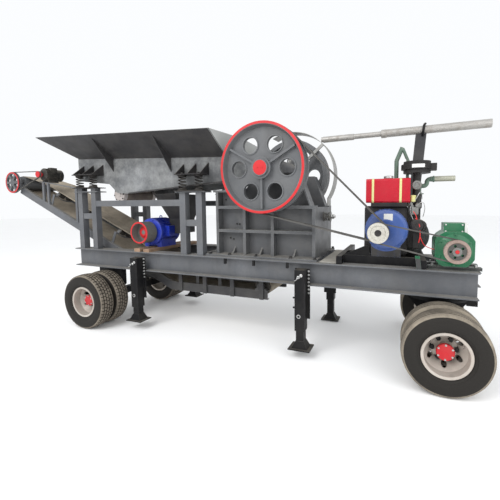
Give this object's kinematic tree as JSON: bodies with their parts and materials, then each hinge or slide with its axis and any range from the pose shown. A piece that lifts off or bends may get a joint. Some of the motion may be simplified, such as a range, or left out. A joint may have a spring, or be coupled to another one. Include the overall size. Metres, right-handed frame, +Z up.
{
  "type": "mobile jaw crushing plant",
  "caption": "Towed stone crushing plant on twin-tyred axles: flared hopper, sprung feeder, jaw crusher with flywheels, inclined discharge conveyor, engine and generator.",
  "frame": {"origin": "bottom centre of the whole plant, on the ground between the tyres", "axes": "+X along the chassis towards the engine end, +Y across it away from the V-belt side, +Z up"},
  "size_m": [8.3789, 2.048, 3.0609],
  "materials": {
    "frame_paint": "satin slate-grey paint",
    "crusher_paint": "satin slate-grey paint with dust",
    "hopper_paint": "charcoal paint, scuffed",
    "feeder_metal": "thin grey paint over bright sheet",
    "leg_paint": "gloss black paint",
    "tyre_rubber": "dusty rubber",
    "rim_paint": "cream-silver rim paint",
    "jaw_steel": "bare manganese steel",
    "shaft_steel": "machined steel",
    "flywheel_paint": "grey casting with red rim faces",
    "guard_metal": "pale sheet",
    "conveyor_belt": "dusty beige belt",
    "motor_blue": "gloss blue paint",
    "engine_black": "black enamel, oily",
    "gearcase_blue": "satin blue paint",
    "tank_red": "gloss red paint",
    "generator_green": "gloss green paint",
    "filter_plastic": "black moulding",
    "exhaust_paint": "heat-worn olive and silver",
    "pulley_grey": "machined grey casting",
    "v_belt": "dusty rubber belt",
    "sleeper_wood": "rough sawn timber",
    "pole_metal": "dull pale metal",
    "mesh_grey": "grey guard mesh"
  },
  "bodies": {
    "root": {"hopper_sheets": "hopper_paint", "conveyor_framework": "frame_paint", "conveyor_rollers": "flywheel_paint", "main_rails": "frame_paint", "cross_members": "frame_paint", "rear_axle": "engine_black", "front_turntable": "engine_black", "leg_housings": "leg_paint", "crusher_sides": "crusher_paint", "crusher_end_walls": "crusher_paint", "jaw_plates": "jaw_steel", "toggle_plate": "jaw_steel", "exhaust_pipes": "exhaust_paint", "swing_jaw": "crusher_paint", "tension_rod": "shaft_steel", "bearing_housings": "crusher_paint", "flywheel_guard": "guard_metal", "feeder_bents": "frame_paint", "feeder_beams": "frame_paint", "feeder_trough": "feeder_metal", "feeder_springs": "engine_black", "feeder_brackets": "hopper_paint", "feeder_exciter": "feeder_metal", "fines_chute": "feeder_metal", "conveyor_channels": "frame_paint", "conveyor_belt": "conveyor_belt", "conveyor_motor": "engine_black", "engine_skid": "engine_black", "engine_block": "engine_black", "engine_gearcase": "gearcase_blue", "fuel_tank": "tank_red", "air_cleaner": "filter_plastic", "fan_guard": "mesh_grey", "generator": "generator_green", "drive_belts": "v_belt", "electric_motor": "motor_blue", "motor_sleepers": "sleeper_wood", "overhead_pole": "pole_metal", "pole_post": "engine_black"},
    "front_axle": {"front_axle_frame": "engine_black"},
    "front_wheels_near": {"tyres_front_near": "tyre_rubber", "wheel_front_near": "rim_paint"},
    "front_wheels_far": {"tyres_front_far": "tyre_rubber", "wheel_front_far": "rim_paint"},
    "rear_wheels_near": {"tyres_rear_near": "tyre_rubber", "wheel_rear_near": "rim_paint"},
    "rear_wheels_far": {"tyres_rear_far": "tyre_rubber", "wheel_rear_far": "rim_paint"},
    "crusher_shaft": {"eccentric_shaft": "shaft_steel", "flywheels": "flywheel_paint"},
    "engine_drive": {"engine_pulley": "pulley_grey"},
    "generator_drive": {"generator_pulley": "pulley_grey"},
    "conveyor_head": {"conveyor_head_drum": "flywheel_paint"},
    "conveyor_motor_drive": {"conveyor_motor_pulley": "pulley_grey"},
    "electric_motor_drive": {"motor_pulley": "pulley_grey"},
    "inner_leg_near_front": {"leg_near_front": "leg_paint"},
    "inner_leg_near_rear": {"leg_near_rear": "leg_paint"},
    "inner_leg_far_front": {"leg_far_front": "leg_paint"},
    "inner_leg_far_rear": {"leg_far_rear": "leg_paint"}
  },
  "joints": [
    {"name": "front_axle_steer", "type": "hinge", "parent": "root", "child": "front_axle", "pos_m": [3.54, 0, 0.422], "axis": [0, 0, 1], "range_deg": [-25, 25]},
    {"name": "front_wheels_near_spin", "type": "hinge", "parent": "front_axle", "child": "front_wheels_near", "pos_m": [3.54, -0.774, 0.422], "axis": [0, 1, 0], "continuous": true},
    {"name": "front_wheels_far_spin", "type": "hinge", "parent": "front_axle", "child": "front_wheels_far", "pos_m": [3.54, 0.774, 0.422], "axis": [0, 1, 0], "continuous": true},
    {"name": "rear_wheels_near_spin", "type": "hinge", "parent": "root", "child": "rear_wheels_near", "pos_m": [-1.458, -0.774, 0.422], "axis": [0, 1, 0], "continuous": true},
    {"name": "rear_wheels_far_spin", "type": "hinge", "parent": "root", "child": "rear_wheels_far", "pos_m": [-1.458, 0.774, 0.422], "axis": [0, 1, 0], "continuous": true},
    {"name": "crusher_shaft_spin", "type": "hinge", "parent": "root", "child": "crusher_shaft", "pos_m": [1.432, 0, 2.365], "axis": [0, 1, 0], "continuous": true},
    {"name": "engine_pulley_spin", "type": "hinge", "parent": "root", "child": "engine_drive", "pos_m": [2.859, 0, 1.577], "axis": [0, 1, 0], "continuous": true},
    {"name": "generator_pulley_spin", "type": "hinge", "parent": "root", "child": "generator_drive", "pos_m": [3.645, 0, 1.405], "axis": [0, 1, 0], "continuous": true},
    {"name": "conveyor_head_spin", "type": "hinge", "parent": "root", "child": "conveyor_head", "pos_m": [-3.988, 0, 2.36], "axis": [0, 1, 0], "continuous": true},
    {"name": "conveyor_motor_spin", "type": "hinge", "parent": "root", "child": "conveyor_motor_drive", "pos_m": [-3.226, 0, 2.49], "axis": [0, 1, 0], "continuous": true},
    {"name": "electric_motor_spin", "type": "hinge", "parent": "root", "child": "electric_motor_drive", "pos_m": [-0.699, 0, 1.479], "axis": [0, 1, 0], "continuous": true},
    {"name": "leg_near_front_slide", "type": "slide", "parent": "root", "child": "inner_leg_near_front", "axis": [0, 0, 1], "range_m": [-0.112, 0.124]},
    {"name": "leg_near_rear_slide", "type": "slide", "parent": "root", "child": "inner_leg_near_rear", "axis": [0, 0, 1], "range_m": [-0.135, 0.101]},
    {"name": "leg_far_front_slide", "type": "slide", "parent": "root", "child": "inner_leg_far_front", "axis": [0, 0, 1], "range_m": [-0.012, 0.224]},
    {"name": "leg_far_rear_slide", "type": "slide", "parent": "root", "child": "inner_leg_far_rear", "axis": [0, 0, 1], "range_m": [-0.135, 0.101]}
  ],
  "couplings": [
    {"joint": "engine_pulley_spin", "follows": "crusher_shaft_spin", "ratio": 4.9483},
    {"joint": "generator_pulley_spin", "follows": "crusher_shaft_spin", "ratio": 4.629},
    {"joint": "conveyor_motor_spin", "follows": "conveyor_head_spin", "ratio": 3.5714}
  ]
}
